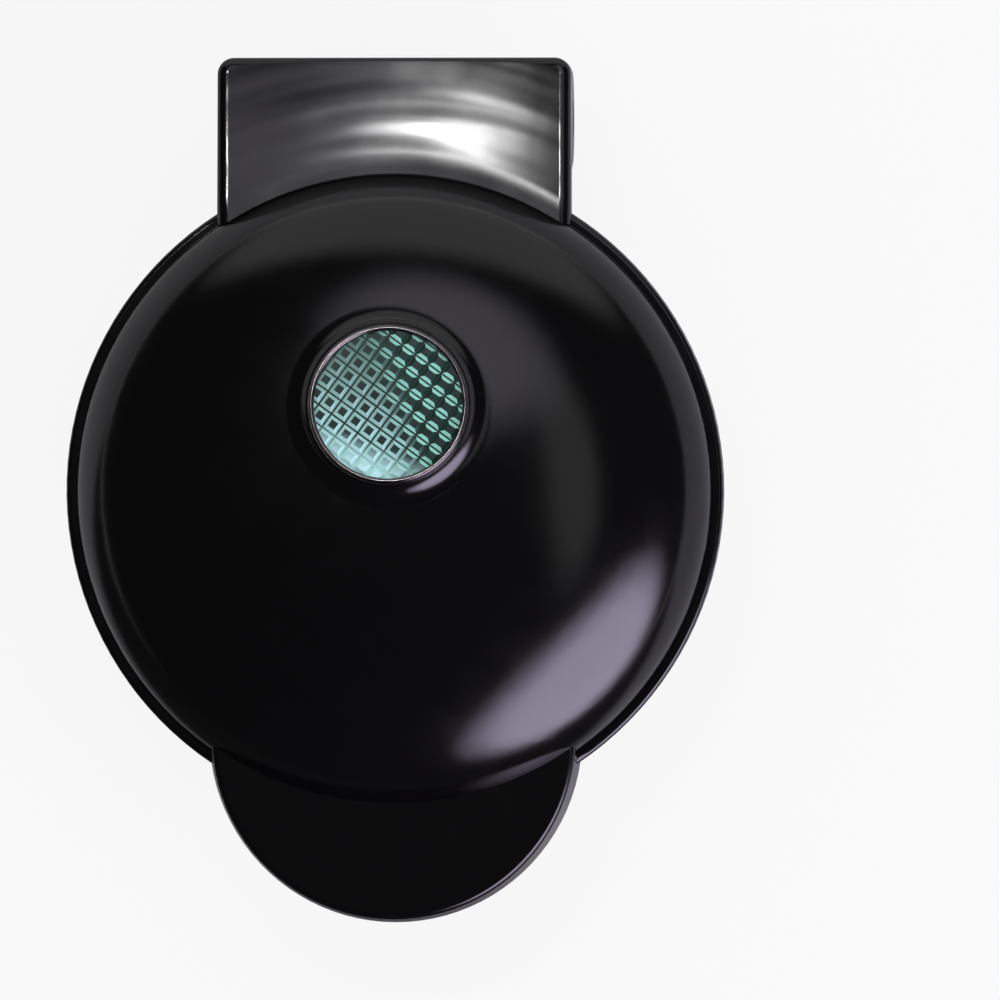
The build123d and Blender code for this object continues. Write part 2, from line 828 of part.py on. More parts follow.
def rear_cover():
    """Cover over the cord's inlet, with a flange inside the wall."""
    wide = cover_width / 2 - slip
    tall = cover_height / 2 - slip
    inner = open_stop_y - wall
    cover = brick((-wide, wide), (inner - wall / 2, open_stop_y), (cord_z - tall, cord_z + tall))
    side = wide + cover_flange
    floor = bowl_z + wall
    ceiling = cord_z + tall + cover_flange
    cover += brick((-side, side), (inner - wall / 2 - slip, inner - slip), (floor + slip, ceiling))
    bore = cord_bore + gland_wall + slip
    hole = Pos(0, open_stop_y, cord_z) * Rot(90, 0, 0) * Cylinder(bore, 4 * wall)
    return cover - hole


def cord_gland():
    outer = cord_bore + gland_wall
    face = open_stop_y + gland_flange
    sleeve = Rot(90, 0, 0) * Cylinder(outer, gland_length, align=standing)
    collar = Rot(90, 0, 0) * Cylinder(outer + gland_wall, gland_flange - slip / 2, align=standing)
    bore = Rot(90, 0, 0) * Cylinder(cord_bore, gland_length, align=standing)
    return Pos(0, face, cord_z) * (sleeve + collar - bore)


# Wiring
def base_harness():
    tip_x, tip_y = heater_terminal()
    heater_z = lower_face_z - tube_centre
    block_top_z = bowl_z + wall + terminal_height
    half_gap = seat_gap / 2
    entry_y = terminal_y + terminal_depth / 2
    across = wire(
        [
            (-half_gap, hinge_y, hinge_z),
            (-harness_x, hinge_y, hinge_z),
            (-harness_x, hinge_y, room_top - wire_radius - slip),
            (-harness_x, terminal_y + terminal_depth + slip, block_top_z - wire_radius / 2),
        ],
        wire_radius,
        turn=[wire_turn, wire_turn],
    )
    leads = [across]
    for side in (-1, 1):
        leads.append(
            wire(
                [
                    (side * terminal_pitch, entry_y, block_top_z - terminal_bore_depth),
                    (side * terminal_pitch, entry_y, heater_z - lead_radius),
                    (side * tip_x, tip_y + lead_radius, heater_z),
                ],
                lead_radius,
                turn=1.5,
            )
        )
    return Compound(leads)


def thermostat_leads():
    z = lower_face_z - plate_back - tab_lift - reflector_sheet - lead_radius
    start_y = thermostat_radius + tab_reach - 2 * lead_radius
    place = thermostat_radius / 2
    return Compound([
        wire([(side * place, start_y, z), (side * place, terminal_y + 2, z)], lead_radius)
        for side in (-1, 1)
    ])


def lid_harness():
    tip_x, tip_y = heater_terminal()
    end_y = tip_y + harness_end
    end_z = upper_face_z + tube_centre + harness_lift
    running_gap = seat_gap + slip
    bend_y = hinge_y - (harness_z - hinge_z) * harness_lean
    bundle = wire(
        [
            (seat_gap / 2, hinge_y, hinge_z),
            (harness_x, hinge_y, hinge_z),
            (harness_x, bend_y, harness_z),
            (harness_x, ledge_outer - wire_radius - running_gap, harness_z),
            (harness_x, end_y + harness_run, end_z),
            (harness_x, end_y, end_z),
        ],
        wire_radius,
        turn=[1.8, 2.4, 2.4, 1.0],
    )
    return Compound([bundle])


def save(name, shape):
    export_step(shape, f"parts/{name}.step")


os.makedirs("parts", exist_ok=True)
save("lid_shell", lid_shell())
save("lid_frame", upper * lid_frame())
save("upper_plate", upper * upper_plate())
save("upper_heater", upper * heater())
save("upper_heater_clamps", upper * heater_clamps())
save("upper_clamp_screws", upper * clamp_screws())
save("upper_reflector", upper * reflector())
save("upper_plate_screws", upper * rim_screws())
save("lid_screws", lid_screws())
save("lens_bezel", lens_bezel())
save("indicator_lens", indicator_lens())
save("lamp_holder", lamp_holder())
save("indicator_lamp", indicator_lamp())
save("lid_harness", lid_harness())
save("left_hinge_pin", hinge_pin(-1))
save("right_hinge_pin", hinge_pin(1))

save("base_shell", base_shell())
save("base_frame", flipped(base_frame()))
save("lower_plate", flipped(lower_plate()))
save("lower_heater", flipped(heater()))
save("lower_heater_clamps", flipped(heater_clamps()))
save("lower_clamp_screws", flipped(clamp_screws()))
save("lower_reflector", flipped(reflector()))
save("base_screws", base_screws())
save("thermostat", flipped(thermostat()))
save("thermal_fuse", flipped(thermal_fuse()))
save("terminal_block", terminal_block())
save("rear_cover", rear_cover())
save("cord_gland", cord_gland())
save("base_harness", base_harness())
save("thermostat_leads", thermostat_leads())
for name, place in foot_places().items():
    save(name, foot(*place))
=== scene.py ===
# %% [markdown]
# # A mini waffle maker, dressed for its picture
# The solids of this cooker come from a CAD model, and they already have the
# right sizes and joints. Here we give every one of them the finish that the real
# part has, make the few pieces that need finer shape than the solids carry,
# and light the whole thing in a small white studio.
# Everything is in metres: X to the right, Y to the hinge, Z up from the table.

# %% Load the frame
from math import atan, cos, degrees, pi, radians, sin, sqrt, tan

import bpy
from mathutils import Matrix, Vector


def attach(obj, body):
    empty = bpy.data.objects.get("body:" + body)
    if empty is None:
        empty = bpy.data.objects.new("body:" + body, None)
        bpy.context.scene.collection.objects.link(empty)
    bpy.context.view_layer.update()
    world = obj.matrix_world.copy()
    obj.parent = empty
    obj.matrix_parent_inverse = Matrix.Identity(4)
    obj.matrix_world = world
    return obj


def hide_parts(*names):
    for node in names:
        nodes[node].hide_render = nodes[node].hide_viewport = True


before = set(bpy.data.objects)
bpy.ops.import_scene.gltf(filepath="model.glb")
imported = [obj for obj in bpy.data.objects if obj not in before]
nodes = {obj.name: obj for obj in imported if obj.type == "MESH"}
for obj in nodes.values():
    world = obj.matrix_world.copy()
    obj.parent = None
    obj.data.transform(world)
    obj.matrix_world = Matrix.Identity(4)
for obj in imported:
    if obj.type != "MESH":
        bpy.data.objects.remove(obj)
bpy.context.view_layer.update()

MM = 0.001
print("pieces in the frame:", len(nodes))

# %% [markdown]
# ## Sizes that the looks depend on
# The dome is half an ellipsoid, and the indicator lens lies square to it a
# little behind the middle. We need the same few sizes as the moulding has, to
# work out where the lens is and how far it leans back.

# %% Name the sizes
dome_foot_radius = 61.5 * MM
dome_height = 26.5 * MM
dome_foot_z = 40.0 * MM
foot_edge_y = 62.5 * MM
lens_y = 16.5 * MM
lens_radius = 14.2 * MM
lens_seat = -0.2 * MM
lens_height = 2.4 * MM

lens_out = lens_y / dome_foot_radius
dome_slope = dome_height / dome_foot_radius * lens_out / sqrt(1 - lens_out**2)
lens_lean = atan(dome_slope)
lens_origin = Vector((0, lens_y, dome_foot_z + dome_height * sqrt(1 - lens_out**2)))
lens_place = Matrix.Translation(lens_origin) @ Matrix.Rotation(-lens_lean, 4, "X")
print("the lens leans back", round(degrees(lens_lean), 2), "degrees")

# %% [markdown]
# ## The camera
# The picture was taken from almost straight above with a long lens, so the
# sides hardly show. A sliver of the right-hand walls is in view, so the camera
# stands a few degrees to the right. The object sits left of the middle of
# the frame: a small lens shift does that without turning the camera.

# %% Place the camera
MM_PER_PIXEL = 0.1933
FRAME_PIXELS = 1000
SENSOR_WIDTH = 36
object_pixel = (395.0, 490.5)
lean_right = radians(2.5)
lean_front = radians(-0.6)
camera_distance = 2.6
look_at = Vector((0, 0, 37 * MM))

camera_data = bpy.data.cameras.new("studio_camera")
camera = bpy.data.objects.new("studio_camera", camera_data)
bpy.context.scene.collection.objects.link(camera)
bpy.context.scene.camera = camera
frame_width = MM_PER_PIXEL * MM * FRAME_PIXELS
camera_data.sensor_width = SENSOR_WIDTH
camera_data.lens = SENSOR_WIDTH * camera_distance / frame_width
camera_data.shift_x = (FRAME_PIXELS / 2 - object_pixel[0]) / FRAME_PIXELS
camera_data.shift_y = (object_pixel[1] - FRAME_PIXELS / 2) / FRAME_PIXELS
towards_camera = Vector((tan(lean_right), -tan(lean_front), 1)).normalized()
across = (Vector((1, 0, 0)) - towards_camera * towards_camera.x).normalized()
up = towards_camera.cross(across)
turn = Matrix((across, up, towards_camera)).transposed().to_4x4()
camera.matrix_world = Matrix.Translation(look_at + towards_camera * camera_distance) @ turn
print("focal length in mm:", round(camera_data.lens, 1))

# %% [markdown]
# ## Colours and nodes
# Colours are written as the hex values that a paint chart would give, and one
# function turns them into the linear values that the renderer works in. Another
# adds a node with its settings, its values and its links. The rest are the few
# sums that come back in many node trees below: a plain sum, a sum with a
# vector, a value stretched to a new range, and two colours mixed by a share.


# %% Define the helpers for nodes
def linear(hex_colour, alpha=1.0):
    """Turn an sRGB hex colour into linear red, green, blue and alpha."""
    values = [int(hex_colour[i : i + 2], 16) / 255 for i in (1, 3, 5)]
    curve = [v / 12.92 if v <= 0.04045 else ((v + 0.055) / 1.055) ** 2.4 for v in values]
    return (*curve, alpha)


def add_node(tree, kind, settings=None, inputs=None, links=None):
    """Add a node, set its properties and input values, and link its inputs."""
    node = tree.nodes.new(kind)
    for name, value in (settings or {}).items():
        setattr(node, name, value)
    for name, value in (inputs or {}).items():
        node.inputs[name].default_value = value
    for name, source in (links or {}).items():
        tree.links.new(source, node.inputs[name])
    return node


def calculate(tree, operation, first, second=0.0):
    """A sum of two values, each a number or a socket."""
    node = add_node(tree, "ShaderNodeMath", {"operation": operation})
    for slot, value in enumerate((first, second)):
        if isinstance(value, (int, float)):
            node.inputs[slot].default_value = value
        else:
            tree.links.new(value, node.inputs[slot])
    return node.outputs[0]


def with_vector(tree, operation, vector, constant=(0, 0, 0)):
    """The outputs of a sum of a vector and a constant one."""
    return add_node(
        tree, "ShaderNodeVectorMath", {"operation": operation}, {1: constant}, {0: vector}
    ).outputs


def spread(tree, value, low, high, new_low=0.0, new_high=1.0, curve="LINEAR"):
    """Stretch a value from one range to another and keep it inside."""
    limits = {"From Min": low, "From Max": high, "To Min": new_low, "To Max": new_high}
    return add_node(
        tree, "ShaderNodeMapRange", {"interpolation_type": curve}, limits, {"Value": value}
    ).outputs[0]


def along(tree, vector, direction, low, high):
    """How far a vector reaches along a direction, as a share between two limits."""
    return spread(tree, with_vector(tree, "DOT_PRODUCT", vector, direction)["Value"], low, high)


def blend(tree, share, first, second):
    """Mix two colours, given as hex values or sockets, by a share from 0 to 1."""
    node = add_node(tree, "ShaderNodeMix", {"data_type": "RGBA"}, links={0: share})
    for slot, colour in ((6, first), (7, second)):
        if isinstance(colour, str):
            node.inputs[slot].default_value = linear(colour)
        else:
            tree.links.new(colour, node.inputs[slot])
    return node.outputs[2]


print("black gloss in linear values:", [round(v, 4) for v in linear("#060506")])

# %% [markdown]
# ## The studio
# A glossy black dome shows what stands around it more than its own colour.
# In the picture it mirrors a round soft box low at the front right, weaker
# panels overhead and at the back, a small bright lamp over the hinge, and the
# floor in a thin line round its rim. So the studio has just those: a pale floor
# and a few lamps. The floor is lit paper, and to the camera and to mirrors it is
# lifted towards white, so that the picture has a white ground and keeps the
# soft shadow. No card stands at the front. Instead a dark patch is painted into
# the floor and the wall there as painted shade that only mirrors see, and it
# keeps the rim and the handle black there.

# %% Build the floor
# Where the painted dark patch lies for mirrors: its direction, where it begins and where it is full.
painted_dark_towards = Vector((-0.24, -0.97, 0))
painted_dark_begins = 60 * MM
painted_dark_full = 100 * MM


def mirror_rays(tree, path):
    """One for a ray that a mirror or a glass sends on, zero for any other."""
    return add_node(
        tree,
        "ShaderNodeMath",
        {"operation": "ADD", "use_clamp": True},
        links={0: path["Is Glossy Ray"], 1: path["Is Transmission Ray"]},
    ).outputs[0]


def white_share(tree, path, camera_share, mirror_share):
    """How much of the white ground a ray sees: one share for the camera, one for mirrors."""
    seen = calculate(tree, "MULTIPLY", path["Is Camera Ray"], camera_share)
    mirrored = calculate(tree, "MULTIPLY", mirror_rays(tree, path), mirror_share)
    return calculate(tree, "ADD", seen, mirrored)


def floor_paper():
    """Matt paper, white to the camera, with a painted dark patch at the front that only mirrors see."""
    material = bpy.data.materials.new("matt_studio_paper")
    material.use_nodes = True
    tree = material.node_tree
    tree.nodes.clear()
    path = add_node(tree, "ShaderNodeLightPath").outputs
    place = add_node(tree, "ShaderNodeNewGeometry").outputs["Position"]
    # Painted shade: a dark patch at the front of the floor, seen by mirrors only, where no card stands.
    painted_dark = along(tree, place, painted_dark_towards, painted_dark_begins, painted_dark_full)
    mirrored = blend(tree, painted_dark, "#b0b0b0", "#101010")
    tone = blend(tree, path["Is Glossy Ray"], "#c8c8c8", mirrored)
    paper = add_node(tree, "ShaderNodeBsdfDiffuse", links={"Color": tone})
    white = add_node(tree, "ShaderNodeEmission", inputs={"Color": (1, 1, 1, 1), "Strength": 1.0})
    share = white_share(tree, path, camera_share=0.88, mirror_share=0.03)
    lifted = add_node(
        tree, "ShaderNodeMixShader", links={0: share, 1: paper.outputs[0], 2: white.outputs[0]}
    )
    add_node(tree, "ShaderNodeOutputMaterial", links={"Surface": lifted.outputs[0]})
    return material


def make_floor(half=3.0):
    mesh = bpy.data.meshes.new("studio_floor")
    corners = [(-half, -half, 0), (half, -half, 0), (half, half, 0), (-half, half, 0)]
    mesh.from_pydata(corners, [], [(0, 1, 2, 3)])
    mesh.materials.append(floor_paper())
    floor = bpy.data.objects.new("studio_floor", mesh)
    bpy.context.scene.collection.objects.link(floor)


make_floor()
bpy.context.scene.view_settings.view_transform = "Standard"
print("the floor is laid")

# %% [markdown]
# The sky is a white wall far away and a dark ceiling. The camera sees it
# white everywhere, mirrors see the white only close to the horizon and see the
# wall painted dark towards the front, and matt surfaces get an even, plain light
# from it.

# %% Paint the sky
# Where the wall turns to painted shade for mirrors, towards the front.
painted_dark_from = 0.45
painted_dark_to = 0.8


def make_sky(even_light, ceiling, wall_top):
    """White to the camera, a low wall painted dark at the front and a ceiling to mirrors, even to the rest.
    """
    world = bpy.data.worlds.new("studio_sky")
    bpy.context.scene.world = world
    world.use_nodes = True
    tree = world.node_tree
    tree.nodes.clear()
    path = add_node(tree, "ShaderNodeLightPath").outputs
    facing = add_node(tree, "ShaderNodeTexCoord").outputs["Generated"]
    height = add_node(tree, "ShaderNodeSeparateXYZ", links={0: facing}).outputs["Z"]
    # Painted shade: mirrors see the wall dark towards the front, where no card stands.
    painted_dark = along(tree, facing, painted_dark_towards, painted_dark_from, painted_dark_to)
    wall = add_node(
        tree,
        "ShaderNodeMapRange",
        inputs={"From Min": 0.0, "From Max": wall_top, "To Max": ceiling},
        links={"Value": height, "To Min": spread(tree, painted_dark, 0.0, 1.0, 1.0, ceiling)},
    )
    mirrored = add_node(
        tree,
        "ShaderNodeMix",
        inputs={2: even_light},
        links={0: mirror_rays(tree, path), 3: wall.outputs[0]},
    )
    seen = add_node(
        tree,
        "ShaderNodeMix",
        inputs={3: 1.0},
        links={0: path["Is Camera Ray"], 2: mirrored.outputs[0]},
    )
    sky = add_node(
        tree, "ShaderNodeBackground", inputs={"Color": (1, 1, 1, 1)}, links={"Strength": seen.outputs[0]}
    )
    add_node(tree, "ShaderNodeOutputWorld", links={"Surface": sky.outputs[0]})


make_sky(even_light=0.45, ceiling=0.028, wall_top=0.015)
print("the sky is painted")

# %% [markdown]
# Each lamp is placed by its azimuth, counted from the right-hand side towards
# the hinge, and by its height in degrees above the table. Its size is an angle
# too, as one reads it off a mirroring dome: half its width and half its height.
# The light fades towards the edge of a panel, as it does in a cloth soft box, so
# the emission falls off with the distance from its middle.


# %% Hang the lamps
def soften(lamp_data, edge):
    """Let the panel fade over the outer share of its half width."""
    lamp_data.use_nodes = True
    tree = lamp_data.node_tree
    emission = next(node for node in tree.nodes if node.type == "EMISSION")
    on_panel = add_node(tree, "ShaderNodeNewGeometry").outputs["Parametric"]
    centred = with_vector(tree, "SUBTRACT", on_panel, (0.5, 0.5, 0.0))["Vector"]
    flat = with_vector(tree, "MULTIPLY", centred, (1.0, 1.0, 0.0))["Vector"]
    out = with_vector(tree, "LENGTH", flat)["Value"]
    fade = spread(tree, out, 0.5, 0.5 - edge / 2, curve="SMOOTHSTEP")
    tree.links.new(fade, emission.inputs["Strength"])


def hang_panel(name, azimuth, height, half_angles, distance, radiance, edge=0.5, tint="#ffffff"):
    """A soft panel that faces the object, as bright as its radiance says."""
    level = cos(radians(height))
    towards = Vector((level * cos(radians(azimuth)), level * sin(radians(azimuth)), sin(radians(height))))
    data = bpy.data.lights.new(name, "AREA")
    data.shape = "ELLIPSE"
    data.size, data.size_y = [2 * distance * tan(radians(half)) for half in half_angles]
    data.energy = radiance * pi * data.size * data.size_y
    data.color = linear(tint)[:3]
    soften(data, edge)
    lamp = bpy.data.objects.new(name, data)
    bpy.context.scene.collection.objects.link(lamp)
    facing = towards.to_track_quat("Z", "Y").to_matrix().to_4x4()
    lamp.matrix_world = Matrix.Translation(towards * distance) @ facing
    print(name, "is", round(data.size, 2), "by", round(data.size_y, 2), "m and uses", round(data.energy), "W")


overhead = 1.75
hang_panel("soft_box_front_right", -46, 24, (32, 25), 1.4, radiance=5.0, tint="#ebe0ff")
hang_panel("panel_over_hinge", 74, 62, (26, 20), overhead, radiance=0.8, tint="#f6f0ff")
hang_panel("panel_behind", 86, 18, (50, 24), 1.6, radiance=0.45, edge=0.4)
hang_panel("panel_right", 5, 58, (26, 9), overhead, radiance=0.35, edge=0.6)
hang_panel("panel_above_hinge", 105, 79, (7, 7), overhead, radiance=0.45, edge=0.6, tint="#f6f0ff")
hang_panel("lamp_above_hinge", 108, 71.6, (9, 2), overhead, radiance=60.0, edge=0.8)

# %% [markdown]
# ## What the finishes share
# Every finish is one Principled shader whose roughness and bump are driven by a
# pattern. The pattern is read in the piece's own coordinates, so it stays put
# on the lid when that opens.


# %% Define the helpers for finishes
def new_finish(name, inputs):
    """A material with one Principled shader: its tree, its shader and the place on the piece."""
    material = bpy.data.materials.new(name)
    material.use_nodes = True
    tree = material.node_tree
    tree.nodes.clear()
    shader = add_node(tree, "ShaderNodeBsdfPrincipled", inputs=inputs)
    add_node(tree, "ShaderNodeOutputMaterial", links={"Surface": shader.outputs["BSDF"]})
    place = add_node(tree, "ShaderNodeTexCoord").outputs["Object"]
    return material, tree, shader, place


def noise(tree, place, size, detail, roughness=0.5):
    """A cloudy pattern with lumps of about the given size."""
    values = {"Scale": 1 / size, "Detail": detail, "Roughness": roughness}
    return add_node(tree, "ShaderNodeTexNoise", inputs=values, links={"Vector": place}).outputs["Fac"]


def roughen(tree, shader, pattern, low, high, within=(0.3, 0.7)):
    """Let a pattern vary the roughness between two values."""
    tree.links.new(spread(tree, pattern, *within, low, high), shader.inputs["Roughness"])


def emboss(tree, shader, pattern, strength, depth):
    """Let a pattern stand out from the surface by a bump."""
    values = {"Strength": strength, "Distance": depth}
    bump = add_node(tree, "ShaderNodeBump", inputs=values, links={"Height": pattern})
    tree.links.new(bump.outputs[0], shader.inputs["Normal"])
    return bump.outputs[0]


print("each finish starts from one shader")

# %% [markdown]
# ## Glossy black moulding
# The lid and the base are moulded in black ABS from a polished tool. The real
# surface is a deep black under a skin that mirrors lamps softly, with the
# slight waviness of thick plastic that shrank as it cooled, and faint dust.
# So the colour is nearly black, the index of refraction is that of ABS, the
# bump is a very low wave some centimetres long, and a fine noise varies the
# roughness as handling does.
#
# The thick hinge block shrank most. Its top is sunk to a shallow dish with low
# rings in it that run round with the dome, so that a lamp overhead is drawn
# out to streaks there. A noise that is read by radius and angle round the
# axis of the dome makes the rings.

# %% Mix the moulded black ABS
wave_size = 18 * MM
smudge_size = 9 * MM
ring_width = 8 * MM
ring_turns = 1.2
ring_depth = 0.26 * MM
dish_middle = Vector((0, 82 * MM, 0))
dish_bend = 1.6
sink_fade = 3 * MM


def sink_marks(tree, place, normal):
    """A dish with rings round the Z axis in it, on the hinge block only."""
    level = with_vector(tree, "MULTIPLY", place, (1.0, 1.0, 0.0))["Vector"]
    parts = add_node(tree, "ShaderNodeSeparateXYZ", links={0: level}).outputs
    radius = with_vector(tree, "LENGTH", level)["Value"]
    angle = calculate(tree, "ARCTAN2", parts["X"], parts["Y"])
    polar = add_node(
        tree,
        "ShaderNodeCombineXYZ",
        links={
            "X": calculate(tree, "DIVIDE", radius, ring_width),
            "Y": calculate(tree, "MULTIPLY", angle, ring_turns),
        },
    )
    rings = noise(tree, polar.outputs[0], size=1.0, detail=1.0)
    out = with_vector(tree, "DISTANCE", level, dish_middle)["Value"]
    dish = calculate(tree, "MULTIPLY", calculate(tree, "POWER", out, 2.0), dish_bend)
    height = calculate(tree, "ADD", calculate(tree, "MULTIPLY", rings, ring_depth), dish)
    past_foot = spread(tree, radius, foot_edge_y, foot_edge_y + sink_fade)
    at_back = calculate(tree, "GREATER_THAN", parts["Y"], 0.0)
    on_block = calculate(tree, "MULTIPLY", past_foot, at_back)
    links = {"Height": height, "Strength": on_block, "Normal": normal}
    return add_node(tree, "ShaderNodeBump", inputs={"Distance": 1.0}, links=links).outputs[0]


def moulded_gloss():
    values = {"Base Color": linear("#060506"), "IOR": 1.54}
    finish, tree, shader, place = new_finish("moulded_black_abs", values)
    smudges = noise(tree, place, smudge_size, detail=4.0, roughness=0.6)
    roughen(tree, shader, smudges, 0.13, 0.18, within=(0.35, 0.75))
    waves = noise(tree, place, wave_size, detail=1.0)
    wavy = emboss(tree, shader, waves, 0.25, 0.05 * MM)
    tree.links.new(sink_marks(tree, place, wavy), shader.inputs["Normal"])
    return finish


gloss_black = moulded_gloss()
print("made", gloss_black.name)

# %% [markdown]
# ## Satin mouldings
# The frames that hold the plates, the cord inlet and its cover are moulded
# from a heat-resistant nylon with glass in it, in a spark-eroded tool. The
# surface is a fine leathery grain, which a small noise drives through a bump.
# The white lamp holder and terminal block and the rubber feet have the same
# kind of grain, coarser and in other colours.

# %% Mix the nylon, the white moulding and the rubber
nylon_grain = 0.5 * MM
pbt_grain = 1.2 * MM
rubber_grain = 0.8 * MM


def grained_moulding(name, colour, grain, low, high, depth=0.03 * MM):
    """A moulded surface with a fine grain of the given size."""
    finish, tree, shader, place = new_finish(name, {"Base Color": linear(colour), "IOR": 1.5})
    grains = noise(tree, place, grain, detail=3.0)
    roughen(tree, shader, grains, low, high)
    emboss(tree, shader, grains, 0.5, depth)
    return finish


satin_black = grained_moulding("eroded_black_nylon", "#151516", nylon_grain, 0.38, 0.5)
white_moulding = grained_moulding("moulded_white_pbt", "#dedbd2", pbt_grain, 0.35, 0.45)
foot_rubber = grained_moulding("moulded_black_rubber", "#171717", rubber_grain, 0.7, 0.85, 0.06 * MM)
print("made", satin_black.name, white_moulding.name, foot_rubber.name)

# %% [markdown]
# ## Non-stick coating
# The plates are cast aluminium, shot-blasted and sprayed with a dark fluoro-
# polymer. Close up that skin is not smooth: it has a pebbled, orange-peel
# texture and carries fine pale flecks of mica. A Voronoi pattern makes the
# flecks and a noise makes the peel.

# %% Mix the non-stick skin
peel_size = 0.7 * MM
fleck_size = 0.9 * MM


def nonstick_skin():
    finish, tree, shader, place = new_finish("sprayed_nonstick", {"IOR": 1.4})
    cells = add_node(
        tree, "ShaderNodeTexVoronoi", inputs={"Scale": 1 / fleck_size}, links={"Vector": place}
    )
    fleck = spread(tree, cells.outputs["Distance"], 0.1, 0.16, 1.0, 0.0)
    tree.links.new(blend(tree, fleck, "#202022", "#4a4a4c"), shader.inputs["Base Color"])
    peel = noise(tree, place, peel_size, detail=2.0)
    roughen(tree, shader, peel, 0.3, 0.42)
    emboss(tree, shader, peel, 0.4, 0.05 * MM)
    return finish


nonstick = nonstick_skin()
print("made", nonstick.name)

# %% [markdown]
# ## Metals
# Screws, pins, clamps and heater tubes are plated or drawn steel, and the
# reflectors are bright rolled aluminium. All of them carry fine lines from
# how they were drawn or rolled, so a noise that is stretched along one axis
# varies the roughness. The lens ring is dark chrome, polished almost to a
# mirror, and has no lines.

# %% Mix the metals
line_width = 0.15 * MM
line_length = 12 * line_width
drawn_along_x = (1, 12, 12)
drawn_along_z = (6, 6, 1)
polished = (1, 1, 1)


def worked_metal(name, colour, low, high, stretch=drawn_along_x):
    """A metal whose fine lines run along the axis where the stretch is 1."""
    finish, tree, shader, place = new_finish(name, {"Base Color": linear(colour), "Metallic": 1.0})
    laid = add_node(tree, "ShaderNodeMapping", inputs={"Scale": stretch}, links={"Vector": place})
    roughen(tree, shader, noise(tree, laid.outputs[0], line_length, detail=3.0), low, high)
    return finish


plated_steel = worked_metal("zinc_plated_steel", "#c3c2bd", 0.22, 0.38)
heater_steel = worked_metal("annealed_heater_steel", "#8d8578", 0.35, 0.5, drawn_along_z)
rolled_sheet = worked_metal("rolled_aluminium", "#d9dadb", 0.18, 0.3)
dark_ring = worked_metal("black_chromed_ring", "#6b6768", 0.1, 0.16, polished)
print("made", plated_steel.name, heater_steel.name, rolled_sheet.name, dark_ring.name)

# %% [markdown]
# ## Glass and wire sleeves
# The lamp is a small glass capsule. The wires wear braided glass-fibre
# sleeves, whose crossing threads a pair of wave textures draws.

# %% Mix the glass and the sleeve
ripple_size = 2 * MM
thread_spacing = 0.45 * MM
thread_tilt = 0.6
thread_turn = 0.8
WAVES_PER_UNIT = 20


def lamp_glass_finish():
    values = {"Base Color": linear("#ffe9d0"), "Roughness": 0.05, "IOR": 1.5, "Transmission Weight": 0.9}
    finish, tree, shader, place = new_finish("blown_lamp_glass", values)
    emboss(tree, shader, noise(tree, place, ripple_size, detail=2.0), 0.2, 0.05 * MM)
    return finish


def braided_sleeve():
    finish, tree, shader, place = new_finish("braided_glass_sleeve", {"Roughness": 0.75})
    threads = []
    for side in (1, -1):
        rotation = (thread_tilt, side * thread_turn, side * thread_turn)
        turned = add_node(tree, "ShaderNodeMapping", inputs={"Rotation": rotation}, links={"Vector": place})
        wave = add_node(
            tree,
            "ShaderNodeTexWave",
            inputs={"Scale": pi / (WAVES_PER_UNIT * thread_spacing)},
            links={"Vector": turned.outputs[0]},
        )
        threads.append(wave.outputs["Fac"])
    woven = calculate(tree, "MAXIMUM", *threads)
    tree.links.new(blend(tree, woven, "#8f8a7c", "#d8d2c2"), shader.inputs["Base Color"])
    return finish


lamp_glass = lamp_glass_finish()
sleeve = braided_sleeve()
print("made", lamp_glass.name, sleeve.name)

# %% [markdown]
# ## Dress the frame
# Each solid of the frame keeps its shape and takes one of the finishes above.
# A table of piece to finish is the easiest thing to read and to change. The
# lens and the recessed screws are missing from it, as they are made further
# down.

# %% Give each piece its finish
finishes = {
    gloss_black: ["lid_shell", "base_shell"],
    satin_black: ["lid_frame", "base_frame", "rear_cover", "cord_gland"],
    nonstick: ["upper_plate", "lower_plate"],
    heater_steel: ["upper_heater", "lower_heater"],
    plated_steel: [
        "upper_heater_clamps",
        "lower_heater_clamps",
        "upper_clamp_screws",
        "lower_clamp_screws",
        "upper_plate_screws",
        "left_hinge_pin",
        "right_hinge_pin",
        "thermal_fuse",
    ],
    rolled_sheet: ["upper_reflector", "lower_reflector"],
    dark_ring: ["lens_bezel"],
    white_moulding: ["lamp_holder", "terminal_block", "thermostat"],
    lamp_glass: ["indicator_lamp"],
    sleeve: ["lid_harness", "base_harness", "thermostat_leads"],
    foot_rubber: ["front_left_foot", "front_right_foot", "rear_left_foot", "rear_right_foot"],
}
dressed = []
for finish, names in finishes.items():
    for name in names:
        for slot in nodes[name].material_slots:
            slot.material = finish
        dressed.append(name)
print("dressed", len(dressed), "of", len(nodes), "pieces; left:", sorted(set(nodes) - set(dressed)))

# %% [markdown]
# ## From a geometry tree to a piece
# The lens and the screws are made with Geometry Nodes. Both trees begin with
# the same sockets and end in the same way: instances become real, the finish
# is set, and the facets stay flat.

# %% Define how a tree begins and ends
SOCKETS = {"Geometry": "NodeSocketGeometry", "Finish": "NodeSocketMaterial"}


def new_shape_tree(name, sizes):
    """A node group that takes points, sizes and a finish: the tree and what it is given."""
    tree = bpy.data.node_groups.new(name, "GeometryNodeTree")
    for socket in ("Geometry", *sizes, "Finish"):
        kind = SOCKETS.get(socket, "NodeSocketFloat")
        tree.interface.new_socket(socket, in_out="INPUT", socket_type=kind)
    tree.interface.new_socket("Geometry", in_out="OUTPUT", socket_type=SOCKETS["Geometry"])
    return tree, add_node(tree, "NodeGroupInput").outputs


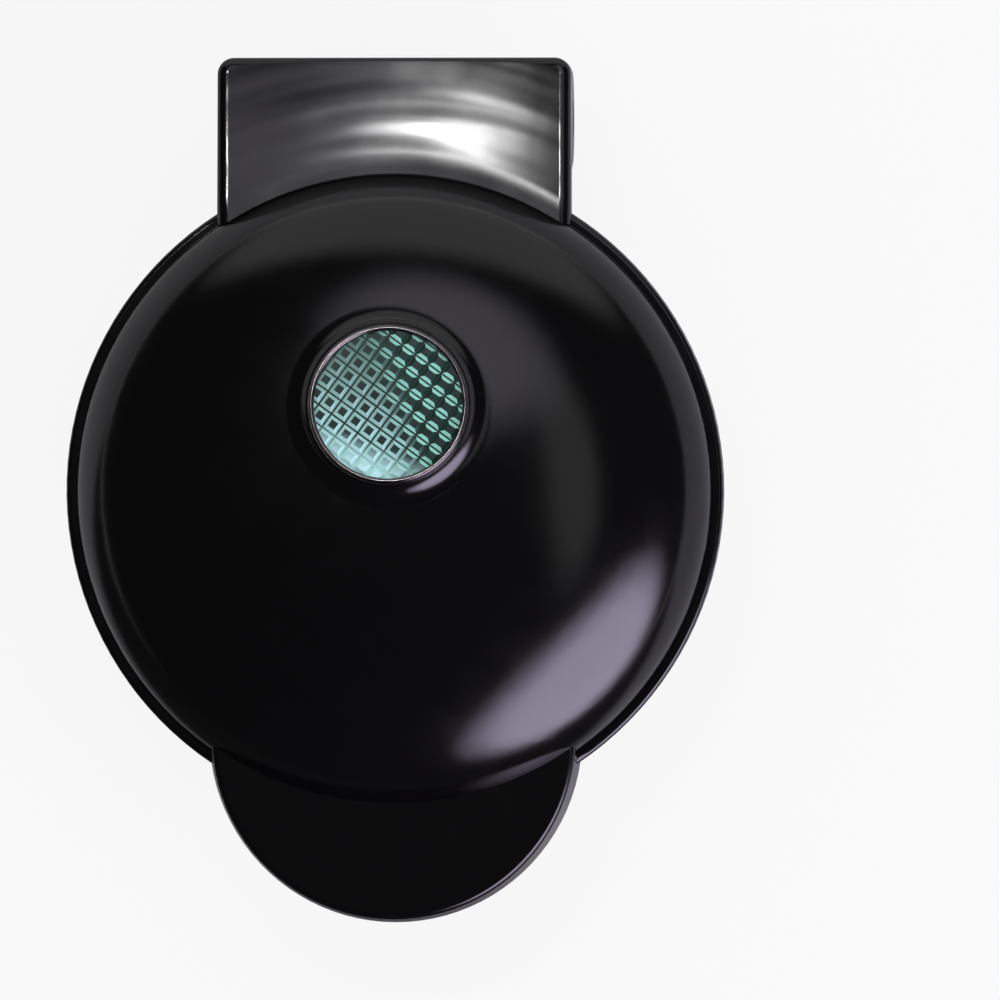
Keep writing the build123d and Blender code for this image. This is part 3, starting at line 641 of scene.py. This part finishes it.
def hand_over(tree, geometry, finish):
    """Set the finish, keep the facets flat and give the geometry out."""
    real = add_node(tree, "GeometryNodeRealizeInstances", links={0: geometry}).outputs[0]
    painted = add_node(tree, "GeometryNodeSetMaterial", links={"Geometry": real, "Material": finish})
    flat = add_node(
        tree,
        "GeometryNodeSetShadeSmooth",
        inputs={"Shade Smooth": False},
        links={0: painted.outputs[0]},
    )
    add_node(tree, "NodeGroupOutput", links={0: flat.outputs[0]})


print("sockets with a kind of their own:", sorted(SOCKETS))

# %% [markdown]
# In between, both trees use the same few moves: a height turned into a vector,
# a geometry moved by one, a cylinder, one copy of a shape on each point, and
# several shapes joined.


# %% Define the moves inside a tree
def upwards(tree, height):
    """A vector that points up by a height."""
    return add_node(tree, "ShaderNodeCombineXYZ", links={"Z": height}).outputs[0]


def moved(tree, geometry, translation):
    """The same geometry, moved."""
    links = {"Geometry": geometry, "Translation": translation}
    return add_node(tree, "GeometryNodeTransform", links=links).outputs[0]


def cylinder(tree, sides, radius, depth):
    """An upright cylinder about the origin."""
    return add_node(
        tree,
        "GeometryNodeMeshCylinder",
        inputs={"Vertices": sides},
        links={"Radius": radius, "Depth": depth},
    ).outputs["Mesh"]


def on_points(tree, points, shape):
    """One real copy of a shape on each point."""
    copies = add_node(tree, "GeometryNodeInstanceOnPoints", links={"Points": points, "Instance": shape})
    return add_node(tree, "GeometryNodeRealizeInstances", links={0: copies.outputs[0]}).outputs[0]


def joined(tree, parts):
    """Several geometries as one."""
    join = add_node(tree, "GeometryNodeJoinGeometry")
    for part in parts:
        tree.links.new(part, join.inputs[0])
    return join.outputs[0]


print("moves:", ", ".join(move.__name__ for move in (upwards, moved, cylinder, on_points, joined)))

# %% [markdown]
# A geometry tree becomes a plain mesh in three moves: put it on an object as
# a modifier, set its inputs by their identifiers, and keep the evaluated
# result as a new mesh. The modifier is then gone, and the piece can be
# exported like any other.


# %% Turn a tree into a plain mesh
def grow(name, tree, values, places=()):
    """Evaluate a geometry tree on some points and return a plain object."""
    points = bpy.data.meshes.new(name + "_seed")
    points.from_pydata(places, [], [])
    seed = bpy.data.objects.new(name, points)
    bpy.context.scene.collection.objects.link(seed)
    modifier = seed.modifiers.new("shape", "NODES")
    modifier.node_group = tree
    for item in tree.interface.items_tree:
        if item.in_out == "INPUT" and item.name in values:
            modifier[item.identifier] = values[item.name]
    seen = bpy.context.evaluated_depsgraph_get()
    mesh = bpy.data.meshes.new_from_object(seed.evaluated_get(seen), depsgraph=seen)
    mesh.name = name
    seed.modifiers.clear()
    seed.data = mesh
    print(name, "has", len(mesh.polygons), "faces")
    return seed


# %% [markdown]
# ## The indicator lens
# The lens is a disc of teal polycarbonate whose face is moulded into a square
# grid of small cut-off pyramids. They scatter the lamp, and from outside each
# one catches the studio on its four slopes and stays dark on its flat tip.
# A picture of a grid would not do that, because every slope must really face
# another way. So one pyramid is set on each point of a grid, and a boolean
# cuts the field to the round outline of the disc. The lit slopes and the dark
# tips are also painted into the lens colour further down, as painted light and shade.

# %% Describe the field of pyramids
prism_pitch = 3.1 * MM
prism_foot = 2.75 * MM
prism_tip = 1.5 * MM
prism_height = 0.7 * MM
prism_turn = radians(-36)
grid_points = 11
disc_sides = 96
punch_heights = 6.0


def prism_field_tree():
    """A node group that makes the disc with its pyramids, about the Z axis."""
    sizes = ("Pitch", "Foot", "Tip", "Height", "Radius", "Disc height", "Turn")
    tree, given = new_shape_tree("prism_field", sizes)
    span = calculate(tree, "MULTIPLY", given["Pitch"], grid_points - 1)
    grid = add_node(
        tree,
        "GeometryNodeMeshGrid",
        inputs={"Vertices X": grid_points, "Vertices Y": grid_points},
        links={"Size X": span, "Size Y": span},
    )
    pyramid = add_node(
        tree,
        "GeometryNodeMeshCone",
        inputs={"Vertices": 4, "Fill Segments": 1},
        links={
            "Radius Bottom": calculate(tree, "DIVIDE", given["Foot"], sqrt(2)),
            "Radius Top": calculate(tree, "DIVIDE", given["Tip"], sqrt(2)),
            "Depth": given["Height"],
        },
    )
    squared = add_node(
        tree,
        "GeometryNodeTransform",
        inputs={"Rotation": (0, 0, pi / 4)},
        links={"Geometry": pyramid.outputs["Mesh"]},
    )
    disc_top = upwards(tree, given["Disc height"])
    turned = add_node(
        tree,
        "GeometryNodeTransform",
        links={
            "Geometry": on_points(tree, grid.outputs["Mesh"], squared.outputs[0]),
            "Rotation": upwards(tree, given["Turn"]),
            "Translation": disc_top,
        },
    )
    deep = calculate(tree, "MULTIPLY", given["Height"], punch_heights)
    punch = cylinder(tree, disc_sides, given["Radius"], deep)
    cut = add_node(tree, "GeometryNodeMeshBoolean", {"operation": "INTERSECT", "solver": "EXACT"})
    tree.links.new(turned.outputs[0], cut.inputs["Mesh 2"])
    tree.links.new(moved(tree, punch, disc_top), cut.inputs["Mesh 2"])
    disc = cylinder(tree, disc_sides, given["Radius"], given["Disc height"])
    half_up = upwards(tree, calculate(tree, "MULTIPLY", given["Disc height"], 0.5))
    lens_shape = joined(tree, [cut.outputs["Mesh"], moved(tree, disc, half_up)])
    hand_over(tree, lens_shape, given["Finish"])
    return tree


print("the grid has", grid_points**2, "points before it is cut")

# %% [markdown]
# The lens material is clear plastic with a dye in it, and its colour has light
# and shade painted in. The slopes are painted pale teal as lit faces, and the
# flats are painted dark as shade. So the shader asks how a face leans, in the
# lens's own space so that it stays right on an open lid. On the left all four
# slopes of a pyramid are painted lit alike, and on the right only the two that
# face along the grid are, which makes pairs of bars. Towards the front left a
# painted glow brightens the slopes and a painted highlight fills the flats too.

# %% Make the lens
lens_turn = lens_place.to_3x3()
lens_axis = lens_turn @ Vector((0, 0, 1))
bar_axis = lens_turn @ Vector((sin(-prism_turn), cos(prism_turn), 0))
painted_glow_towards = lens_turn @ Vector((-0.36, -0.93, 0))
bars_towards = lens_turn @ Vector((0.97, 0.24, 0))
cloud_size = 5 * MM
flat_limits = (0.85, 0.97)
bar_limits = (0.35, 0.5)
right_limits = (-0.2 * lens_radius, 0.35 * lens_radius)
painted_glow_limits = (-0.8 * lens_radius, 0.9 * lens_radius)
painted_flat_highlight_limits = (0.55 * lens_radius, 0.92 * lens_radius)


# The base colour of this lens is painted light and shade, set by how each face leans and where it lies.
def teal_lens_painted_light():
    values = {"IOR": 1.5, "Roughness": 0.1, "Transmission Weight": 0.1, "Specular IOR Level": 0.18}
    finish, tree, shader, place = new_finish("teal_polycarbonate_painted_light", values)
    facing = add_node(
        tree,
        "ShaderNodeVectorTransform",
        settings={"vector_type": "NORMAL", "convert_from": "WORLD", "convert_to": "OBJECT"},
        links={0: add_node(tree, "ShaderNodeNewGeometry").outputs["True Normal"]},
    ).outputs[0]
    from_middle = with_vector(tree, "SUBTRACT", place, lens_origin)["Vector"]
    is_flat = along(tree, facing, lens_axis, *flat_limits)
    faces_up = along(tree, facing, bar_axis, *bar_limits)
    faces_down = along(tree, facing, -bar_axis, *bar_limits)
    is_bar = calculate(tree, "ADD", faces_up, faces_down)
    on_right = along(tree, from_middle, bars_towards, *right_limits)
    painted_glow = along(tree, from_middle, painted_glow_towards, *painted_glow_limits)
    painted_flat_highlight = along(tree, from_middle, painted_glow_towards, *painted_flat_highlight_limits)
    # Painted light on the slopes: pale teal, brighter towards the front left as a painted glow, in pairs of
    # bars on the right.
    painted_even_slope_light = blend(tree, painted_glow, "#527263", "#c6f8f2")
    painted_bar_light = blend(tree, is_bar, "#27403a", "#a8ecdb")
    painted_slope_light = blend(tree, on_right, painted_even_slope_light, painted_bar_light)
    # Painted shade on the flat tips, with a random cloud in it.
    painted_flat_shade = blend(tree, noise(tree, place, cloud_size, detail=1.0), "#010403", "#123a32")
    # A painted highlight fills the flats towards the front left.
    painted_flat_shade_and_highlight = blend(tree, painted_flat_highlight, painted_flat_shade, "#c4f6f8")
    tree.links.new(blend(tree, is_flat, painted_slope_light, painted_flat_shade_and_highlight), shader.inputs["Base Color"])
    return finish


lens = grow(
    "prism_lens",
    prism_field_tree(),
    {
        "Pitch": prism_pitch,
        "Foot": prism_foot,
        "Tip": prism_tip,
        "Height": prism_height,
        "Radius": lens_radius,
        "Disc height": lens_height - prism_height,
        "Turn": prism_turn,
        "Finish": teal_lens_painted_light(),
    },
)
lens.data.transform(lens_place @ Matrix.Translation((0, 0, lens_seat)))
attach(lens, "lid")
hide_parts("indicator_lens")

# %% [markdown]
# ## Cross-recessed screws
# The screws that one sees from below are pan-head screws with a cross recess
# for the driver. One tree makes such a screw, head down, and sets it on each
# place, so the two of the lid and the four of the base differ by a few inputs.
# The sizes of the head and of the recess are shares of the head's radius, and
# the recess goes in by a share of the head's height.

# %% Describe one screw
head_face = 0.88
recess_reach = 0.62
recess_half_width = 0.22
recess_depth = 0.6
head_sides = 48
shank_sides = 32


def screw_tree():
    """A node group that sets a pan-head screw, head down, on each point."""
    sizes = ("Head radius", "Head height", "Shank radius", "Shank length")
    tree, given = new_shape_tree("recessed_screw", sizes)
    head_radius = given["Head radius"]
    head_height = given["Head height"]
    head = add_node(
        tree,
        "GeometryNodeMeshCone",
        inputs={"Vertices": head_sides},
        links={
            "Radius Bottom": calculate(tree, "MULTIPLY", head_radius, head_face),
            "Radius Top": head_radius,
            "Depth": head_height,
        },
    )
    arm_length = calculate(tree, "MULTIPLY", head_radius, 2 * recess_reach)
    arm_width = calculate(tree, "MULTIPLY", head_radius, 2 * recess_half_width)
    arm_height = calculate(tree, "MULTIPLY", head_height, 2 * recess_depth)
    cut = add_node(tree, "GeometryNodeMeshBoolean", {"operation": "DIFFERENCE", "solver": "EXACT"})
    tree.links.new(head.outputs["Mesh"], cut.inputs["Mesh 1"])
    for size_x, size_y in ((arm_length, arm_width), (arm_width, arm_length)):
        size = add_node(tree, "ShaderNodeCombineXYZ", links={"X": size_x, "Y": size_y, "Z": arm_height})
        arm = add_node(tree, "GeometryNodeMeshCube", links={"Size": size.outputs[0]})
        tree.links.new(arm.outputs["Mesh"], cut.inputs["Mesh 2"])
    shank = cylinder(tree, shank_sides, given["Shank radius"], given["Shank length"])
    half_shank = calculate(tree, "MULTIPLY", given["Shank length"], 0.5)
    shank_up = upwards(tree, calculate(tree, "ADD", half_shank, head_height))
    screw = joined(tree, [cut.outputs["Mesh"], moved(tree, shank, shank_up)])
    hand_over(tree, on_points(tree, given["Geometry"], screw), given["Finish"])
    return tree


one_screw = screw_tree()
print("the screw's tree has", len(one_screw.nodes), "nodes")


# %% Set the screws on their places
def set_screws(node, body, places, head_radius, head_height, shank_radius, shank_length):
    """Replace the plain screws of a node by recessed ones; all sizes in mm."""
    values = {
        "Head radius": head_radius * MM,
        "Head height": head_height * MM,
        "Shank radius": shank_radius * MM,
        "Shank length": shank_length * MM,
        "Finish": plated_steel,
    }
    points = [Vector(place) * MM for place in places]
    piece = grow(node + "_recessed", one_screw, values, points)
    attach(piece, body)
    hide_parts(node)


lid_places = [(x, -68.0, 34.4) for x in (-16.0, 16.0)]
base_places = [(x, y, 6.5) for x in (-21.0, 21.0) for y in (-36.37, 36.37)]
set_screws(
    "lid_screws", "lid", lid_places, head_radius=2.6, head_height=1.2, shank_radius=1.3, shank_length=7.7
)
set_screws(
    "base_screws", "base", base_places, head_radius=2.7, head_height=2.0, shank_radius=1.5, shank_length=14.7
)
